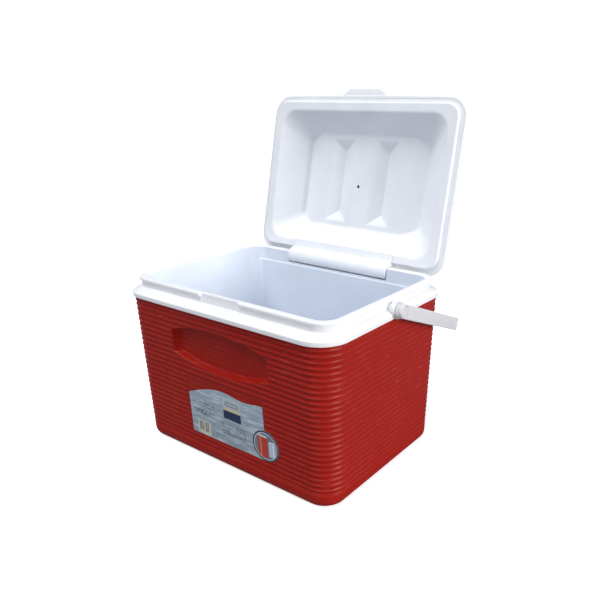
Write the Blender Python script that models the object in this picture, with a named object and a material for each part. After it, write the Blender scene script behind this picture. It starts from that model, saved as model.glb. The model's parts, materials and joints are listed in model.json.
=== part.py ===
"""Hard-sided cooler: a ribbed shell, a white liner with a rim, a hinged lid and a swing handle.

Metres. +X runs along the length, +Y to the back and +Z up, and the origin is on the ground
under the centre of the body. Every piece is drawn in the closed position. The lid and the
handle hang from empties on their axes, and the empties' rotations stand the lid open and
lay the handle back.
"""
from math import acos, cos, degrees, pi, radians, sin

import bmesh
import bpy

# Body, overall
RIM_LENGTH = 0.430
RIM_WIDTH = 0.331
RIM_CORNER = 0.0465
BODY_HEIGHT = 0.289          # ground to the top of the lip
GAP = 0.0003                 # between pieces that touch

# Rim, moulded in one piece with the liner, measured down and in from its top and edge
SKIRT_DROP = 0.029           # top of the lip to the underside of the skirt
SKIRT_EDGE = 0.007           # height of the skirt's upright edge
SKIRT_LAND = 0.0073          # how far the skirt's underside reaches in over the shell
SHOULDER_X = 0.00785         # skirt's edge in to the lip, at the ends
SHOULDER_Y = 0.0153          # the same, at the front and back
SHOULDER_DROP = 0.0145       # top of the lip to the foot of the cove
COVE_DEPTH = 0.003           # the lip overhangs the cove by this much
LIP_BAND = 0.0045            # height of the lip's outer edge
LIP_FACE = 0.0125            # width of the lip's top
LIP_CORNER = 0.0365
MOUTH_CORNER = 0.0245
LIP_ROUND = 0.0015
RIM_SKIN = 0.003

# Liner tub
TUB_WALL = 0.0020
TUB_TAPER_X = 0.022          # each end wall leans in by this much from mouth to floor
TUB_TAPER_Y = 0.0252
TUB_FLOOR = 0.036            # height of the inside floor
TUB_FILLET = 0.010
LEDGE_DROP = 0.024           # top of the lip to the ledge on the back wall
LEDGE_DEPTH = 0.003

# Outer shell
SHELL_INSET = 0.003          # skirt's edge in to the shell
SHELL_TAPER_X = 0.0063       # each end leans in by this much from top to foot
SHELL_TAPER_Y = 0.01265
SHELL_FOOT_CORNER = 0.036
SHELL_HEAD_CORNER = 0.042
SHELL_SKIN = 0.0018
SHELL_FLOOR = 0.003
FOOT_ROUND = 0.012
RIB_PITCH = 0.0089
RIB_HEIGHT = 0.0013
RIB_START = 0.0262           # top of the plain band at the foot

# Grip recess in the front, measured down from the skirt's underside
RECESS_HALF = 0.102
RECESS_SIDE_TOP = 0.040
RECESS_SIDE_FOOT = 0.077
RECESS_RISE = 0.016          # crown of the upper edge
RECESS_SAG = 0.015           # sag of the lower edge
RECESS_DEPTH = 0.012
RECESS_SLOPE = 0.005         # height of the sloped lower lip
RECESS_DRAFT = 0.0025

# Plain panel in the ribs and the label on it
PANEL_LEFT = -0.078
PANEL_RIGHT = 0.0875
PANEL_FOOT = 0.044
PANEL_BELOW_RECESS = 0.017
PANEL_DEPTH = 0.0014
LABEL_MARGIN = 0.001
LABEL_THICKNESS = 0.0005
LABEL_LEFT_TOP = 0.117
LABEL_RISE = 0.0215          # the top edge climbs this far by the middle
LABEL_DIP = 0.0045           # and dips between there and the right
BADGE_X = 0.0870
BADGE_RADIUS = 0.0275

# Front notch that bares the lid's lift tab
NOTCH_HALF = 0.040
NOTCH_DEPTH = 0.0055
NOTCH_DROP = 0.016

# Lid hinge: a rod across a trough in the back of the rim, with the lid's strap hooked round it
HINGE_DROP = 0.009           # top of the lip to the rod's axis
HINGE_INSET = 0.0002         # lip's outer edge in to the rod's axis
TROUGH_HALF = 0.111
TROUGH_RADIUS = 0.0182
STRAP_SIDE_GAP = 0.002
STRAP_RADIUS = 0.0170
STRAP_PLATE = 0.003
STRAP_TIP_ANGLE = 315        # degrees round from +Y, lid closed
STRAP_MOUTH_ANGLE = 100
ROD_RADIUS = 0.0065
ROD_ENGAGE = 0.005           # length held in each ear
EAR_RADIUS = 0.0088
LID_OPEN_ANGLE = 102.5

# Lid
LID_HEIGHT = 0.0505          # eave to crown
EAVE_INSET = 0.0030          # lip's outer edge in to the eave
EAVE_BAND = 0.007
EAVE_SKIN = 0.003
EAVE_BOW = 0.002             # the front edge bows out by this much at its middle
LID_SKIN = 0.0020
TAB_BASE_HALF = 0.0475
TAB_TIP_HALF = 0.0325
TAB_REACH = 0.0120
TAB_THICKNESS = 0.0035
PLUG_GAP = 0.001
PLUG_BACK_GAP = 0.003        # more at the back, where the plug swings out over the lip
PLUG_DEPTH = 0.006
RING_FACE = 0.01625
CAVITY_DEPTH = 0.043         # ring face to the cavity's ceiling
CAVITY_SLOPE_X = 0.047
CAVITY_SLOPE_Y = 0.049
CAVITY_CORNER = 0.030
CEILING_CORNER = 0.010
PLATEAU_DROP = 0.0115
PLATEAU_SLOPE = 0.026
GROOVE_X = 0.0475
GROOVE_HALF = 0.024
GROOVE_END_GAP = 0.009
GROOVE_HIP = 0.020
VENT_RADIUS = 0.0022
VENT_Y = 0.0075

# Swing handle
PIVOT_Y = 0.004
PIVOT_DROP = 0.017           # top of the lip to the pivot
BOSS_RADIUS = 0.0115
BOSS_PROUD = 0.001           # the rim's boss stands this far past the skirt's edge
WASHER_RADIUS = 0.0135
WASHER_THICKNESS = 0.002
HUB_RADIUS = 0.012
HUB_LENGTH = 0.004
ARM_THICKNESS = 0.006
ARM_WIDTH = 0.022
HANDLE_REACH = 0.1925        # pivot to the outer face of the crossbar
BAR_THICKNESS = 0.0068
GRIP_HALF = 0.060
GRIP_THICKNESS = 0.0145
PIN_RADIUS = 0.0045
PIN_DEPTH = 0.0098           # into the rim's boss
PIN_HEAD_RADIUS = 0.0085
PIN_HEAD = 0.002
HANDLE_REST_ANGLE = -22.0

# Smoothness
CORNER_STEPS = 6
EDGE_STEPS = 3
ROUND_STEPS = 32
ARC_STEPS = 8
MIN_CORNER = 0.004

WHITE = (0.86, 0.86, 0.87, 1.0)
LINER_WHITE = (0.78, 0.82, 0.91, 1.0)
RED = (0.42, 0.012, 0.012, 1.0)
FOAM = (0.85, 0.80, 0.62, 1.0)
LABEL_BLUE = (0.33, 0.46, 0.58, 1.0)


def clear_scene():
    for thing in list(bpy.data.objects):
        bpy.data.objects.remove(thing, do_unlink=True)


def plastic(name, colour, roughness):
    finish = bpy.data.materials.get(name)
    if finish is None:
        finish = bpy.data.materials.new(name)
        finish.use_nodes = True
        shader = finish.node_tree.nodes["Principled BSDF"]
        shader.inputs["Base Color"].default_value = colour
        shader.inputs["Roughness"].default_value = roughness
        shader.inputs["Metallic"].default_value = 0.0
    return finish


def white_plastic():
    return plastic("white_plastic", WHITE, 0.35)


def liner_plastic():
    return plastic("liner_plastic", LINER_WHITE, 0.40)


def red_plastic():
    return plastic("red_plastic", RED, 0.38)


def foam():
    return plastic("foam", FOAM, 0.90)


def label_film():
    return plastic("label_film", LABEL_BLUE, 0.25)


# Outlines: (length, width, corner radius) of a rounded rectangle about the centre

def grow(spec, dx, dy=None):
    dy = dx if dy is None else dy
    length, width, corner = spec
    return length + 2 * dx, width + 2 * dy, max(corner + min(dx, dy), MIN_CORNER)


def between(low, high, share):
    return tuple(a + (b - a) * share for a, b in zip(low, high))


def outline(spec, shift=0.0, bow=0.0, front_steps=1):
    """Points anticlockwise round a rounded rectangle, with its front side bowed out by bow."""
    length, width, corner = spec
    half_x = length / 2 - corner
    half_y = width / 2 - corner
    centres = ((half_x, half_y), (-half_x, half_y), (-half_x, -half_y), (half_x, -half_y))
    points = []
    for quarter, (cx, cy) in enumerate(centres):
        if quarter == 3:
            steps = range(1, front_steps)
            points += [(-half_x + 2 * half_x * s / front_steps, -width / 2) for s in steps]
        for step in range(CORNER_STEPS + 1):
            angle = (quarter + step / CORNER_STEPS) * pi / 2
            points.append((cx + corner * cos(angle), cy + corner * sin(angle)))
    bowed = []
    for x, y in points:
        push = bow * (1 - (2 * x / length) ** 2) if y <= -half_y else 0.0
        bowed.append((x, y - push + shift))
    return bowed


def arc(radius, start, end, steps, centre=(0.0, 0.0)):
    angles = [radians(start + (end - start) * s / steps) for s in range(steps + 1)]
    return [(centre[0] + radius * cos(a), centre[1] + radius * sin(a)) for a in angles]


def circle(radius, centre, steps=ROUND_STEPS):
    return arc(radius, 0, 360, steps, centre)[:-1]


def mirrored(points):
    return [(-x, y) for x, y in reversed(points)]


# Solids

def solid(name, loops, finish, smooth_angle=35):
    """A closed body through loops of 3-D points, with a flat cap on the first and last."""
    mesh = bpy.data.meshes.new(name)
    build = bmesh.new()
    rings = [[build.verts.new(point) for point in loop] for loop in loops]
    for low, high in zip(rings, rings[1:]):
        for i, vert in enumerate(low):
            following = (i + 1) % len(low)
            build.faces.new((vert, low[following], high[following], high[i]))
    build.faces.new(reversed(rings[0]))
    build.faces.new(rings[-1])
    bmesh.ops.recalc_face_normals(build, faces=build.faces)
    build.to_mesh(mesh)
    build.free()
    mesh.shade_smooth()
    mesh.set_sharp_from_angle(angle=radians(smooth_angle))
    mesh.materials.append(finish)
    thing = bpy.data.objects.new(name, mesh)
    bpy.context.scene.collection.objects.link(thing)
    return thing


def loft(name, levels, finish, front_steps=1):
    """A closed body through levels of (outline, z) or (outline, z, shift, bow)."""
    loops = []
    for spec, z, *rest in levels:
        shift, bow = rest or (0.0, 0.0)
        loops.append([(x, y, z) for x, y in outline(spec, shift, bow, front_steps)])
    return solid(name, loops, finish)


def prism_x(name, profile, start, end, finish):
    """A profile of (y, z) points carried along X."""
    return solid(name, [[(x, y, z) for y, z in profile] for x in (start, end)], finish)


def prism_z(name, profile, start, end, finish):
    """A profile of (x, y) points carried along Z."""
    return solid(name, [[(x, y, z) for x, y in profile] for z in (start, end)], finish)


def front_solid(name, layers, finish):
    """Layers of ((x, z) points, depth in from the shell's front face), joined front to back."""
    loops = [[(x, front_y(z) + depth, z) for x, z in points] for points, depth in layers]
    return solid(name, loops, finish)


def combine(target, tool, operation):
    """Join or cut a target with a tool, which is then only a guide."""
    tool.hide_render = True
    tool.display_type = "WIRE"
    change = target.modifiers.new(tool.name, "BOOLEAN")
    change.operation = operation
    change.solver = "EXACT"
    change.object = tool


def cut(target, tool):
    combine(target, tool, "DIFFERENCE")


def join(target, tool):
    combine(target, tool, "UNION")


def axis_empty(name, y, z, angle):
    empty = bpy.data.objects.new(name, None)
    empty.location = (0.0, y, z)
    empty.rotation_euler = (radians(angle), 0.0, 0.0)
    bpy.context.scene.collection.objects.link(empty)
    return empty


def hang(empty, *things):
    """Give pieces, and the tools that shape them, their origin on an empty's axis."""
    tools = [change.object for thing in things for change in thing.modifiers]
    for piece in {*things, *tools}:
        for vert in piece.data.vertices:
            vert.co -= empty.location
        piece.parent = empty


# Heights and outlines that several pieces share

SKIRT_Z = BODY_HEIGHT - SKIRT_DROP
SHELL_TOP = SKIRT_Z - GAP
SHOULDER_Z = BODY_HEIGHT - SHOULDER_DROP
HINGE_Z = BODY_HEIGHT - HINGE_DROP
EAVE_Z = BODY_HEIGHT + GAP
LID_TOP = EAVE_Z + LID_HEIGHT
RING_Z = BODY_HEIGHT - PLUG_DEPTH
CEILING_Z = RING_Z + CAVITY_DEPTH
PIVOT_Z = BODY_HEIGHT - PIVOT_DROP
PANEL_TOP = SKIRT_Z - RECESS_SIDE_FOOT - RECESS_SAG - PANEL_BELOW_RECESS

RIM = (RIM_LENGTH, RIM_WIDTH, RIM_CORNER)
LIP = (RIM_LENGTH - 2 * SHOULDER_X, RIM_WIDTH - 2 * SHOULDER_Y, LIP_CORNER)
COVE = grow(LIP, -COVE_DEPTH)
MOUTH = (LIP[0] - 2 * LIP_FACE, LIP[1] - 2 * LIP_FACE, MOUTH_CORNER)
SHELL_HEAD = (RIM_LENGTH - 2 * SHELL_INSET, RIM_WIDTH - 2 * SHELL_INSET, SHELL_HEAD_CORNER)
SHELL_FOOT = (SHELL_HEAD[0] - 2 * SHELL_TAPER_X, SHELL_HEAD[1] - 2 * SHELL_TAPER_Y, SHELL_FOOT_CORNER)
EAVE = grow(LIP, -EAVE_INSET)
PLUG = (MOUTH[0] - 2 * PLUG_GAP, MOUTH[1] - PLUG_GAP - PLUG_BACK_GAP, MOUTH[2] - PLUG_GAP)
PLUG_SHIFT = (PLUG_GAP - PLUG_BACK_GAP) / 2
CAVITY_IN = PLUG_GAP + RING_FACE
CAVITY = (MOUTH[0] - 2 * CAVITY_IN, MOUTH[1] - 2 * CAVITY_IN, CAVITY_CORNER)
CEILING = (CAVITY[0] - 2 * CAVITY_SLOPE_X, CAVITY[1] - 2 * CAVITY_SLOPE_Y, CEILING_CORNER)
HINGE_Y = LIP[1] / 2 - HINGE_INSET


def shell_outline(z, inset=0.0):
    return grow(between(SHELL_FOOT, SHELL_HEAD, z / SHELL_TOP), -inset)


def front_y(z):
    """Where the crests of the front ribs lie at a height."""
    return -shell_outline(z)[1] / 2


def tub_outline(z, out=0.0):
    floor = (MOUTH[0] - 2 * TUB_TAPER_X, MOUTH[1] - 2 * TUB_TAPER_Y, MOUTH_CORNER)
    return grow(between(floor, MOUTH, (z - TUB_FLOOR) / (BODY_HEIGHT - TUB_FLOOR)), out)


def cavity_outline(z, out=0.0):
    return grow(between(CAVITY, CEILING, (z - RING_Z) / CAVITY_DEPTH), out)


# Body

def recess_edge(margin, draft=0.0, slope=0.0):
    """The grip recess's edge, grown by a margin, or drawn in by a draft and a sloped foot."""
    half = RECESS_HALF + margin - draft
    high = SKIRT_Z - RECESS_SIDE_TOP + margin - draft
    low = SKIRT_Z - RECESS_SIDE_FOOT - margin + slope
    across = [1 - 2 * step / ARC_STEPS for step in range(ARC_STEPS + 1)]
    crown = [(half * s, high + RECESS_RISE * (1 - s * s)) for s in across]
    sag = [(-half * s, low - RECESS_SAG * (1 - s * s)) for s in across]
    return crown + sag


def recess_body(name, margin, start, finish):
    """The space of the recess, or with a margin the pan that lines it."""
    face = recess_edge(margin)
    floor = recess_edge(margin, RECESS_DRAFT, RECESS_SLOPE)
    return front_solid(name, [(face, start), (face, 0.002), (floor, RECESS_DEPTH + margin)], finish)


def panel_shapes(margin):
    """The plain panel's rectangle and the round part of it under the badge."""
    left, right = PANEL_LEFT - margin, PANEL_RIGHT + margin
    foot, top = PANEL_FOOT - margin, PANEL_TOP + margin
    corners = [(left, foot), (right, foot), (right, top), (left, top)]
    return corners, circle(BADGE_RADIUS + margin, badge_centre())


def badge_centre():
    return BADGE_X, PANEL_FOOT + LABEL_MARGIN + BADGE_RADIUS


def outer_shell():
    levels = []
    for step in range(EDGE_STEPS + 1):
        angle = pi / 2 * step / EDGE_STEPS
        z = FOOT_ROUND * (1 - cos(angle))
        levels.append((shell_outline(z, FOOT_ROUND * (1 - sin(angle))), z))
    levels.append((shell_outline(RIB_START), RIB_START - RIB_HEIGHT))
    ribs = int((SHELL_TOP - RIB_HEIGHT - RIB_START) / RIB_PITCH)
    for rib in range(ribs):
        foot = RIB_START + rib * RIB_PITCH
        crest = foot + RIB_PITCH / 2
        levels.append((shell_outline(foot, RIB_HEIGHT), foot))
        levels.append((shell_outline(crest), crest))
    top = RIB_START + ribs * RIB_PITCH
    levels.append((shell_outline(top, RIB_HEIGHT), top))
    levels.append((shell_outline(SHELL_TOP), SHELL_TOP))
    inside = SHELL_SKIN + RIB_HEIGHT
    levels.append((shell_outline(SHELL_TOP, inside), SHELL_TOP))
    levels.append((shell_outline(FOOT_ROUND, inside), FOOT_ROUND))
    levels.append((shell_outline(SHELL_FLOOR, FOOT_ROUND), SHELL_FLOOR))
    shell = loft("outer_shell", levels, red_plastic())
    join(shell, recess_body("recess_pan", SHELL_SKIN, 0.002 - GAP, red_plastic()))
    cut(shell, recess_body("recess_space", 0.0, -FOOT_ROUND, red_plastic()))
    for name, shape in zip(("panel_space", "badge_space"), panel_shapes(0.0)):
        cut(shell, front_solid(name, [(shape, -FOOT_ROUND), (shape, PANEL_DEPTH)], red_plastic()))
    return shell


def body_foam():
    skin = SHELL_SKIN + RIB_HEIGHT + GAP
    top = SKIRT_Z - 5 * GAP
    under = TUB_FLOOR - TUB_WALL - GAP
    levels = [
        (shell_outline(SHELL_FLOOR, FOOT_ROUND + GAP), SHELL_FLOOR + GAP),
        (shell_outline(FOOT_ROUND, skin + GAP), FOOT_ROUND),
        (shell_outline(top, skin), top),
        (tub_outline(top, TUB_WALL + GAP), top),
        (tub_outline(TUB_FLOOR + TUB_FILLET, TUB_WALL + 2 * GAP), TUB_FLOOR + TUB_FILLET),
        (tub_outline(under, TUB_WALL - TUB_FILLET / 2 + 2 * GAP), under),
    ]
    filling = loft("body_foam", levels, foam())
    cut(filling, recess_body("recess_clearance", SHELL_SKIN + GAP, -FOOT_ROUND, foam()))
    return filling


def rim_filling(name, half, side, outer, top):
    """A block that fills the hollow under the lip, on the front (side -1) or back (side 1)."""
    inner = tub_outline(SKIRT_Z, TUB_WALL / 2)[1] / 2
    foot = SKIRT_Z + GAP
    profile = [
        (side * inner, foot),
        (side * outer, foot),
        (side * outer, SKIRT_Z + SKIRT_EDGE - RIM_SKIN / 2),
        (side * (COVE[1] / 2 - RIM_SKIN / 2), SHOULDER_Z - RIM_SKIN / 2),
        (side * (COVE[1] / 2 - RIM_SKIN / 2), top),
        (side * (MOUTH[1] / 2 + TUB_WALL / 2), top),
    ]
    return prism_x(name, profile, -half, half, white_plastic())


def add_hinge_seat(liner):
    """A trough across the back of the rim, with an ear at each end for the rod."""
    ear_end = TROUGH_HALF + ROD_ENGAGE + RIM_SKIN
    top = BODY_HEIGHT - LIP_ROUND
    join(liner, rim_filling("trough_filling", ear_end, 1, RIM_WIDTH / 2 - LIP_ROUND, top))
    axis = (HINGE_Y, HINGE_Z)
    join(liner, prism_x("hinge_ears", circle(EAR_RADIUS, axis), -ear_end, ear_end, white_plastic()))
    trough = circle(TROUGH_RADIUS, axis)
    cut(liner, prism_x("trough", trough, -TROUGH_HALF, TROUGH_HALF, white_plastic()))
    bore = TROUGH_HALF + ROD_ENGAGE + GAP
    cut(liner, prism_x("rod_bore", circle(ROD_RADIUS + GAP, axis), -bore, bore, white_plastic()))


def add_front_notch(liner):
    face = -LIP[1] / 2 + NOTCH_DEPTH
    top = BODY_HEIGHT - LIP_ROUND
    join(liner, rim_filling("notch_filling", NOTCH_HALF + RIM_SKIN, -1, COVE[1] / 2, top))
    front = face - 2 * SHOULDER_Y
    foot = BODY_HEIGHT - NOTCH_DROP
    above = BODY_HEIGHT + NOTCH_DROP
    profile = [(face, foot), (face, above), (front, above), (front, foot)]
    cut(liner, prism_x("notch", profile, -NOTCH_HALF, NOTCH_HALF, white_plastic()))


def add_handle_boss(liner, side):
    axis = (PIVOT_Y, PIVOT_Z)
    root = COVE[0] / 2 - RIM_SKIN / 2
    end = RIM_LENGTH / 2 + BOSS_PROUD
    name = "boss_right" if side > 0 else "boss_left"
    join(liner, prism_x(name, circle(BOSS_RADIUS, axis), side * root, side * end, white_plastic()))
    bore = circle(PIN_RADIUS + GAP, axis)
    depth = end - PIN_DEPTH - GAP
    cut(liner, prism_x(name + "_bore", bore, side * depth, side * (end + GAP), white_plastic()))


def liner():
    under = BODY_HEIGHT - RIM_SKIN
    hollow = SHOULDER_Z - 3 * RIM_SKIN
    skirt = grow(RIM, -SKIRT_LAND)
    ledge = BODY_HEIGHT - LEDGE_DROP
    ledge_shift = -LEDGE_DEPTH / 2
    levels = [
        (tub_outline(TUB_FLOOR, TUB_WALL - TUB_FILLET), TUB_FLOOR - TUB_WALL),
        (tub_outline(TUB_FLOOR + TUB_FILLET, TUB_WALL), TUB_FLOOR + TUB_FILLET),
        (tub_outline(under, TUB_WALL), under),
        (grow(COVE, -RIM_SKIN), under),
        (grow(COVE, -RIM_SKIN), hollow),
        (skirt, hollow),
        (skirt, SKIRT_Z),
        (RIM, SKIRT_Z),
        (RIM, SKIRT_Z + SKIRT_EDGE),
        (COVE, SHOULDER_Z),
        (COVE, BODY_HEIGHT - LIP_BAND - COVE_DEPTH / 2),
        (LIP, BODY_HEIGHT - LIP_BAND),
        (LIP, BODY_HEIGHT - LIP_ROUND),
        (grow(LIP, -LIP_ROUND), BODY_HEIGHT),
        (grow(MOUTH, LIP_ROUND), BODY_HEIGHT),
        (tub_outline(BODY_HEIGHT - LIP_ROUND), BODY_HEIGHT - LIP_ROUND),
        (tub_outline(ledge), ledge),
        (grow(tub_outline(ledge - GAP), 0.0, ledge_shift), ledge - GAP, ledge_shift, 0.0),
    ]
    for step in range(EDGE_STEPS, -1, -1):
        angle = pi / 2 * step / EDGE_STEPS
        z = TUB_FLOOR + TUB_FILLET * (1 - cos(angle))
        spec = tub_outline(z, -TUB_FILLET * (1 - sin(angle)))
        levels.append((grow(spec, 0.0, ledge_shift), z, ledge_shift, 0.0))
    tub = loft("liner", levels, liner_plastic())
    add_hinge_seat(tub)
    add_front_notch(tub)
    for side in (-1, 1):
        add_handle_boss(tub, side)
    return tub


def hinge_rod():
    half = TROUGH_HALF + ROD_ENGAGE
    return prism_x("hinge_rod", circle(ROD_RADIUS, (HINGE_Y, HINGE_Z)), -half, half, white_plastic())


def label():
    """A printed film with a wavy top and a round badge at its lower right."""
    left, right = PANEL_LEFT + LABEL_MARGIN, PANEL_RIGHT - LABEL_MARGIN
    foot = PANEL_FOOT + LABEL_MARGIN
    top = min(LABEL_LEFT_TOP, PANEL_TOP - LABEL_RISE - LABEL_MARGIN)
    centre = badge_centre()
    radius = BADGE_RADIUS - LABEL_MARGIN
    badge = arc(radius, -90, degrees(acos((right - BADGE_X) / radius)), 2 * ARC_STEPS, centre)
    waves = [1 - step / (2 * ARC_STEPS) for step in range(2 * ARC_STEPS + 1)]
    edge = []
    for s in waves:
        height = LABEL_RISE * sin(pi * min(s, 0.5)) - LABEL_DIP * sin(2 * pi * max(s, 0.5)) ** 2
        edge.append((left + (right - left) * s, top + height))
    points = [(left, foot)] + badge + edge
    near = PANEL_DEPTH - GAP - LABEL_THICKNESS
    return front_solid("label", [(points, near), (points, PANEL_DEPTH - GAP)], label_film())


# Lid

def lid_shell():
    top = EAVE_Z + EAVE_BAND
    bow = EAVE_BOW
    levels = [
        (grow(EAVE, -0.045), LID_TOP - LID_SKIN, 0.0, 0.0),
        (grow(EAVE, -0.0291), LID_TOP - LID_SKIN - 0.0015, 0.0, 0.0),
        (grow(EAVE, -0.0208), LID_TOP - 0.0115, 0.0, 0.0),
        (grow(EAVE, -0.0070), top + 0.002, 0.0, 0.0),
        (grow(EAVE, -EAVE_SKIN), top - 0.002, 0.0, 0.0),
        (grow(EAVE, -EAVE_SKIN), EAVE_Z, 0.0, 0.0),
        (EAVE, EAVE_Z, 0.0, bow),
        (EAVE, top - 0.0015, 0.0, bow),
        (grow(EAVE, -0.0015), top, 0.0, bow),
        (grow(EAVE, -0.0045), top + 0.001, 0.0, bow * 0.7),
        (grow(EAVE, -0.0176), LID_TOP - 0.0100, 0.0, 0.0),
        (grow(EAVE, -0.0216), LID_TOP - 0.0035, 0.0, 0.0),
        (grow(EAVE, -0.0276), LID_TOP - 0.0006, 0.0, 0.0),
        (grow(EAVE, -0.0450), LID_TOP, 0.0, 0.0),
    ]
    shell = loft("lid_shell", levels, white_plastic(), front_steps=ARC_STEPS)
    front = -EAVE[1] / 2 - EAVE_BOW
    root = -EAVE[1] / 2 + EAVE_SKIN / 2
    half_tab = [(TAB_TIP_HALF, front - TAB_REACH), (TAB_BASE_HALF, front), (TAB_BASE_HALF, root)]
    tab = half_tab + mirrored(half_tab)
    foot = EAVE_Z + TAB_THICKNESS / 3
    join(shell, prism_z("lift_tab", tab, foot, foot + TAB_THICKNESS, white_plastic()))
    return shell


def plateau():
    """The raised block on the cavity's ceiling, which its sloping sides blend into."""
    face = CEILING_Z - PLATEAU_DROP
    wide = cavity_outline(face)[1] + 2 * LIP_ROUND
    low = (CEILING[0] - 2 * PLATEAU_SLOPE, wide, MIN_CORNER)
    high = (CEILING[0] - LIP_ROUND, CEILING[1] + LIP_ROUND, CEILING_CORNER)
    return loft("plateau", [(low, face), (high, CEILING_Z + LIP_ROUND / 2)], liner_plastic())


def groove(name, centre):
    """A V-shaped groove with hipped ends, as deep as the plateau."""
    face = CEILING_Z - PLATEAU_DROP
    below = PLATEAU_DROP / 4
    flare = 1 + below / PLATEAU_DROP
    long = CEILING[1] / 2 + PLATEAU_SLOPE / 2 - GROOVE_END_GAP
    ridge = long - GROOVE_HIP
    mouth_x = GROOVE_HALF * flare
    mouth_y = ridge + GROOVE_HIP * flare
    crease = GAP
    low = [(mouth_x, mouth_y), (-mouth_x, mouth_y), (-mouth_x, -mouth_y), (mouth_x, -mouth_y)]
    high = [(crease, ridge), (-crease, ridge), (-crease, -ridge), (crease, -ridge)]
    loops = []
    for corners, z in ((low, face - below), (high, CEILING_Z - GAP)):
        loops.append([(centre + x, y, z) for x, y in corners])
    return solid(name, loops, liner_plastic())


def lid_liner():
    flange = grow(EAVE, -EAVE_SKIN - GAP)
    back = LID_SKIN * 1.4
    levels = [
        (cavity_outline(CEILING_Z + LID_SKIN, back), CEILING_Z + LID_SKIN),
        (cavity_outline(RING_Z + LID_SKIN, back), RING_Z + LID_SKIN),
        (grow(PLUG, -LID_SKIN), RING_Z + LID_SKIN, PLUG_SHIFT, 0.0),
        (grow(PLUG, -LID_SKIN), EAVE_Z + LID_SKIN, PLUG_SHIFT, 0.0),
        (flange, EAVE_Z + LID_SKIN),
        (flange, EAVE_Z),
        (PLUG, EAVE_Z, PLUG_SHIFT, 0.0),
        (PLUG, RING_Z + LIP_ROUND, PLUG_SHIFT, 0.0),
        (grow(PLUG, -LIP_ROUND), RING_Z, PLUG_SHIFT, 0.0),
        (CAVITY, RING_Z),
        (CEILING, CEILING_Z),
    ]
    inner = loft("lid_liner", levels, white_plastic())
    join(inner, plateau())
    for name, centre in (("groove_left", -GROOVE_X), ("groove_right", GROOVE_X)):
        cut(inner, groove(name, centre))
    vent = circle(VENT_RADIUS, (0.0, VENT_Y), ROUND_STEPS // 2)
    cut(inner, prism_z("vent", vent, RING_Z, CEILING_Z + 2 * LID_SKIN, white_plastic()))
    return inner


def lid_foam():
    foot = EAVE_Z + LID_SKIN + 2 * GAP
    back = LID_SKIN * 1.4 + 3 * GAP
    levels = [
        (cavity_outline(CEILING_Z + LID_SKIN + GAP, back), CEILING_Z + LID_SKIN + GAP),
        (cavity_outline(foot, back), foot),
        (grow(EAVE, -0.008), foot),
        (grow(EAVE, -0.008), EAVE_Z + EAVE_BAND + 0.002),
        (grow(EAVE, -0.0218), LID_TOP - 0.012),
        (grow(EAVE, -0.0301), LID_TOP - LID_SKIN - 0.0021),
        (grow(EAVE, -0.046), LID_TOP - LID_SKIN - 2 * GAP),
    ]
    return loft("lid_foam", levels, foam())


def hinge_strap():
    """A plate on the back of the plug ring that curls into a hook round the hinge rod."""
    plug_back = MOUTH[1] / 2 - PLUG_BACK_GAP + GAP - HINGE_Y
    plate_end = CAVITY[1] / 2 - HINGE_Y
    under = RING_Z - GAP - HINGE_Z
    roof = EAVE_Z - 2 * GAP - HINGE_Z
    hook = arc(STRAP_RADIUS, 180, STRAP_TIP_ANGLE, 2 * ARC_STEPS)
    bore = arc(ROD_RADIUS + 2 * GAP, STRAP_TIP_ANGLE, STRAP_MOUTH_ANGLE, 2 * ARC_STEPS)
    profile = [(plate_end, under), (plate_end, under - STRAP_PLATE)]
    profile += [(-STRAP_RADIUS, under - STRAP_PLATE)] + hook[1:] + bore
    profile += [(bore[-1][0], roof), (plug_back, roof), (plug_back, under)]
    section = [(HINGE_Y + y, HINGE_Z + z) for y, z in profile]
    half = TROUGH_HALF - STRAP_SIDE_GAP
    return prism_x("hinge_strap", section, -half, half, white_plastic())


# Handle

def rounded_bar(name, low_y, high_y, half_x):
    """A bar along X as wide as the arms, with round edges."""
    middle = (low_y + high_y) / 2
    thick = high_y - low_y
    corner = min(thick, ARM_WIDTH) * 0.3
    points = outline((thick, ARM_WIDTH, corner))
    profile = [(PIVOT_Y + middle + y, PIVOT_Z + z) for y, z in points]
    return prism_x(name, profile, -half_x, half_x, white_plastic())


def washer_face():
    """Inner face of the washer, just outside the rim's boss."""
    return RIM_LENGTH / 2 + BOSS_PROUD + GAP


def hub_face():
    return washer_face() + WASHER_THICKNESS + GAP


def handle():
    inner = hub_face() + HUB_LENGTH
    outer = inner + ARM_THICKNESS
    half_width = ARM_WIDTH / 2
    arm = arc(half_width, 90, 270, ARC_STEPS) + [(HANDLE_REACH, -half_width), (HANDLE_REACH, half_width)]
    profile = [(PIVOT_Y + y, PIVOT_Z + z) for y, z in arm]
    axis = (PIVOT_Y, PIVOT_Z)
    bail = prism_x("handle", profile, inner, outer, white_plastic())
    join(bail, prism_x("left_arm", profile, -outer, -inner, white_plastic()))
    bar_face = HANDLE_REACH - GAP
    join(bail, rounded_bar("crossbar", bar_face - BAR_THICKNESS, bar_face, outer - GAP))
    join(bail, rounded_bar("grip", bar_face - GAP - GRIP_THICKNESS, bar_face - GAP, GRIP_HALF))
    sink = outer - PIN_HEAD - GAP
    for side, word in ((-1, "left"), (1, "right")):
        hub = prism_x("hub_" + word, circle(HUB_RADIUS, axis), side * hub_face(), side * (inner + GAP),
                      white_plastic())
        join(bail, hub)
        bore = circle(PIN_RADIUS + GAP, axis)
        cut(bail, prism_x("hub_bore_" + word, bore, side * (hub_face() - GAP), side * (outer + GAP),
                          white_plastic()))
        seat = circle(PIN_HEAD_RADIUS + GAP, axis)
        cut(bail, prism_x("head_seat_" + word, seat, side * sink, side * (outer + GAP), white_plastic()))
    return bail


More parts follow.
